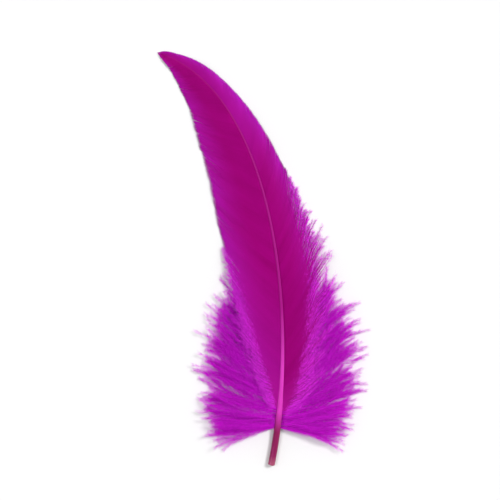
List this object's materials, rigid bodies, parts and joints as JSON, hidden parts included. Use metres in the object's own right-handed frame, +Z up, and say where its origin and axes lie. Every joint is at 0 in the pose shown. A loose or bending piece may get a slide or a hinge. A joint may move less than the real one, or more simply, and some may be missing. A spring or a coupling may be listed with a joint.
{
  "type": "goose quill feather",
  "caption": "Curved goose quill feather lying on its hollow side: cut hollow barrel, tapering shaft, a wide and a narrow vane, and loose down at the base.",
  "frame": {"origin": "the middle of the feather's outline, on the surface it lies on", "axes": "+Y from the cut end of the quill towards the tip, along the straight line between them; +Z up, from the hollow side to the arched side; +X towards the narrow vane, on the outside of the shaft's bend"},
  "size_m": [0.0737, 0.171, 0.007],
  "materials": {
    "quill": "glossy dyed horn, see-through pale at the cut end",
    "vane": "smooth satin barbs, dyed magenta",
    "down": "loose matt down, dyed violet-pink"
  },
  "bodies": {
    "root": {"quill": "quill", "wide_vane": "vane", "narrow_vane": "vane", "wide_side_down": "down", "narrow_side_down": "down"}
  },
  "joints": []
}
